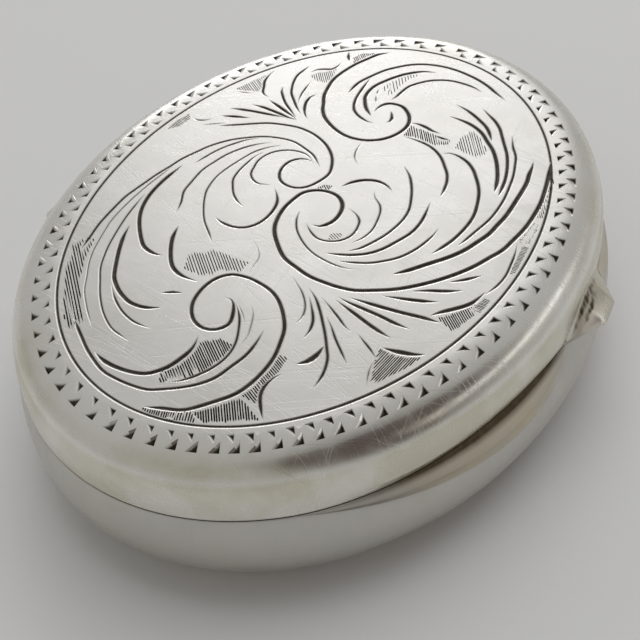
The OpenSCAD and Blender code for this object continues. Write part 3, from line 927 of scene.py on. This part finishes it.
def tarnish_and_shade_group():
    """Soft patches of yellow-brown tarnish, and the darker dirt left in hollows; the point values fed
    in also bring painted shade and shadow.
    """
    tree = bpy.data.node_groups.new("tarnish_and_shade", "ShaderNodeTree")
    group_sockets(tree, {"Hollow": 0.0, "Film_and_shade": 0.0, "Patches": 0.3}, ("Veil_and_shade", "Dirt_and_shadow"))
    n = Nodes(tree)
    source = n.add("NodeGroupInput")
    vector = source.outputs["Vector"]
    cloud = n.span(n.noise(vector, 160.0, 4.0, 0.6), 0.36, 0.72)
    veil_and_shade = n.math("MULTIPLY", cloud, source.outputs["Patches"])
    film_and_shade = n.math("MULTIPLY", source.outputs["Film_and_shade"], n.math("ADD", cloud, 0.55))
    veil_and_shade = n.math("ADD", veil_and_shade, film_and_shade, clamp=True)
    grain = n.span(n.noise(vector, 2600.0, 3.0), 0.3, 0.62, 0.93, 1.0)
    dirt_and_shadow = n.math("MULTIPLY", n.span(source.outputs["Hollow"], 0.3, 0.8), grain, clamp=True)
    n.add("NodeGroupOutput", {"Veil_and_shade": veil_and_shade, "Dirt_and_shadow": dirt_and_shadow})
    return tree


def silver_finish(name, tone, veil_and_shade_tone, dirt_and_shadow_tone, rough, rough_span, density, patches,
                  relief, stained_and_shaded=True):
    """Worn silver. A stained piece's dirt and veil, with the painted shade and shadow in them, are read
    from its own points.

    rough and rough_span: least roughness and how much rubbing adds
    density: how many hairlines show; patches: how strong the tarnish is; relief: bump strength
    """
    material = bpy.data.materials.new(name)
    material.use_nodes = True
    n = Nodes(material.node_tree)
    shader = material.node_tree.nodes["Principled BSDF"]
    place = n.add("ShaderNodeTexCoord").outputs["Object"]
    lines = n.add("ShaderNodeGroup", node_tree=HAIRLINES)
    n.tree.links.new(place, lines.inputs["Vector"])
    lines.inputs["Density"].default_value = density
    stains_and_shade = n.add("ShaderNodeGroup", node_tree=TARNISH_AND_SHADE)
    n.tree.links.new(place, stains_and_shade.inputs["Vector"])
    stains_and_shade.inputs["Patches"].default_value = patches
    if stained_and_shaded:
        for socket, attribute in (("Hollow", "dirt_and_shadow"), ("Film_and_shade", "veil_and_shade")):
            source = n.add("ShaderNodeAttribute", attribute_name=attribute)
            n.tree.links.new(source.outputs["Fac"], stains_and_shade.inputs[socket])
    # The veil and dirt tones paint shade as well: the darker lid wall, the shaded finger facets and the
    # lid's shadow along the joint.
    colour = n.mix(stains_and_shade.outputs["Veil_and_shade"], tone, veil_and_shade_tone)
    colour = n.mix(stains_and_shade.outputs["Dirt_and_shadow"], colour, dirt_and_shadow_tone)
    n.tree.links.new(colour, shader.inputs["Base Color"])
    shader.inputs["Metallic"].default_value = 1.0
    wear = n.span(lines.outputs["Rub"], 0.3, 0.8, rough, rough + rough_span)
    wear = n.math("ADD", wear, n.math("MULTIPLY", stains_and_shade.outputs["Dirt_and_shadow"], 0.3), clamp=True)
    n.tree.links.new(wear, shader.inputs["Roughness"])
    waves = n.noise(place, 420.0, 2.0)
    height = n.math("ADD", lines.outputs["Height"], n.math("MULTIPLY", waves, 6.0))
    bump = n.add("ShaderNodeBump", {"Height": height, "Strength": relief, "Distance": 0.000006})
    n.tree.links.new(bump.outputs["Normal"], shader.inputs["Normal"])
    return material


HAIRLINES = hairline_group()
TARNISH_AND_SHADE = tarnish_and_shade_group()


def dress():
    """The finishes of all pieces."""
    # The engraved finish's veil and dirt tones also paint the shade on the lid's wall and finger
    # facets.
    engraved = silver_finish(
        "engraved_silver", tone=(.90, .885, .86, 1), veil_and_shade_tone=(.67, .64, .53, 1),
        dirt_and_shadow_tone=(.07, .06, .045, 1), rough=0.22, rough_span=0.14, density=0.8, patches=0.25,
        relief=0.5)
    # The satin finish's veil and dirt tones also paint the lid's shadow along the joint and the
    # reflection on the base's finger facets.
    satin = silver_finish(
        "satin_silver", tone=(.57, .557, .525, 1), veil_and_shade_tone=(.64, .58, .46, 1),
        dirt_and_shadow_tone=(.13, .095, .055, 1), rough=0.30, rough_span=0.16, density=0.8, patches=0.25,
        relief=0.4)
    nib = silver_finish(
        "nib_silver", tone=(.86, .845, .81, 1), veil_and_shade_tone=(.58, .54, .44, 1),
        dirt_and_shadow_tone=(.09, .07, .045, 1), rough=0.22, rough_span=0.16, density=0.7, patches=0.4,
        relief=0.4)
    hinge = silver_finish(
        "hinge_silver", tone=(.80, .785, .75, 1), veil_and_shade_tone=(.60, .56, .46, 1),
        dirt_and_shadow_tone=(.16, .13, .09, 1), rough=0.28, rough_span=0.16, density=0.8, patches=0.7,
        relief=0.4, stained_and_shaded=False)
    gilt = silver_finish(
        "gilt_inside", tone=(.90, .80, .56, 1), veil_and_shade_tone=(.74, .62, .40, 1),
        dirt_and_shadow_tone=(.25, .18, .09, 1), rough=0.26, rough_span=0.14, density=0.5, patches=0.4,
        relief=0.3, stained_and_shaded=False)
    return engraved, satin, nib, hinge, gilt


# ---------------------------------------------------------------- studio

LIGHT_AIM = Vector((0, 0, 0.008))
# Directions of the studio's bright side and of its darker front
BRIGHT_SIDE = (.80, .35, .49)
DARK_SIDE = (-.12, -.76, .64)


def softbox(name, place, size, power):
    """Square-cornered soft light of size (width, height) and power in watts."""
    light = bpy.data.lights.new(name, "AREA")
    light.shape = "RECTANGLE"
    light.size, light.size_y = size
    light.energy = power
    box = bpy.data.objects.new(name, light)
    bpy.context.scene.collection.objects.link(box)
    box.location = place
    box.rotation_euler = (LIGHT_AIM - box.location).to_track_quat("-Z", "Y").to_euler()
    return box


def studio():
    """Plain paper floor, two soft windows and a fill from above."""
    paper = bpy.data.materials.new("floor_paper")
    paper.use_nodes = True
    shader = paper.node_tree.nodes["Principled BSDF"]
    shader.inputs["Base Color"].default_value = (.74, .74, .74, 1)
    shader.inputs["Roughness"].default_value = 0.9
    bm = bmesh.new()
    bmesh.ops.create_grid(bm, x_segments=1, y_segments=1, size=1.5)
    mesh = bpy.data.meshes.new("floor")
    bm.to_mesh(mesh)
    bm.free()
    mesh.materials.append(paper)
    floor = bpy.data.objects.new("floor", mesh)
    bpy.context.scene.collection.objects.link(floor)
    softbox("low_window", (.44, .28, .11), (.34, .09), .25)
    softbox("front_window", (.15, -.372, .204), (.46, .08), .10)
    fill = softbox("fill", (.16, .0, .54), (.5, .5), 1.2)
    fill.visible_glossy = False
    air()


def air():
    """Soft surroundings: bright towards the back right, darker over the front."""
    world = bpy.data.worlds.new("studio_air")
    bpy.context.scene.world = world
    world.use_nodes = True
    n = Nodes(world.node_tree)
    view = n.add("ShaderNodeTexCoord").outputs["Generated"]

    def towards(direction, low, high):
        dot = n.add("ShaderNodeVectorMath", {0: view, 1: direction}, operation="DOT_PRODUCT")
        return n.add("ShaderNodeMapRange", {"Value": dot.outputs["Value"], "From Min": low,
                                            "From Max": high},
                     interpolation_type="SMOOTHSTEP").outputs[0]
    bright = towards(BRIGHT_SIDE, 0.90, 0.993)
    dark = n.math("MULTIPLY", towards(DARK_SIDE, 0.74, 0.91), n.math("SUBTRACT", 1.0, bright))
    colour = n.mix(bright, (.43, .43, .42, 1), (1.0, 1.0, 1.0, 1))
    colour = n.mix(dark, colour, (.085, .066, .06, 1))
    background = world.node_tree.nodes["Background"]
    world.node_tree.links.new(colour, background.inputs["Color"])
    background.inputs["Strength"].default_value = 1.0


def camera():
    lens = bpy.data.cameras.new("camera")
    lens.sensor_width = 36
    lens.lens = 56.25
    lens.clip_start = 0.001
    lens.clip_end = 5
    piece = bpy.data.objects.new("camera", lens)
    bpy.context.scene.collection.objects.link(piece)
    azimuth = -1.0467
    elevation = 0.7702
    roll = -0.0629
    distance = 0.05404
    look = Vector((-0.0099, -0.00514, 0.01106))
    back = Vector((math.sin(azimuth) * math.cos(elevation),
                   -math.cos(azimuth) * math.cos(elevation), math.sin(elevation)))
    right = Vector((math.cos(azimuth), math.sin(azimuth), 0))
    up = back.cross(right)
    turned_right = math.cos(roll) * right + math.sin(roll) * up
    turned_up = -math.sin(roll) * right + math.cos(roll) * up
    place = Matrix((turned_right, turned_up, back)).transposed().to_4x4()
    place.translation = look + back * distance
    piece.matrix_world = place
    bpy.context.scene.camera = piece


def build():
    engraved, satin, nib_finish, hinge, gilt = dress()
    lid = engraved_lid()
    lid.data.materials.clear()
    lid.data.materials.append(engraved)
    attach(lid, "lid")
    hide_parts("lid_shell")
    base = bellied_base()
    base.data.materials.clear()
    base.data.materials.append(satin)
    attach(base, "base")
    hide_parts("base_shell")
    nib = thumb_nib()
    nib.data.materials.append(nib_finish)
    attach(nib, "lid")
    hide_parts("thumb_piece")
    for name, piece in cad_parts.items():
        finish = gilt if name == "base_inner_rim" else hinge
        if name in ("lid_shell", "base_shell", "thumb_piece"):
            continue
        for slot in piece.material_slots:
            slot.material = finish


build()
studio()
camera()
bpy.context.scene.view_settings.view_transform = "Standard"
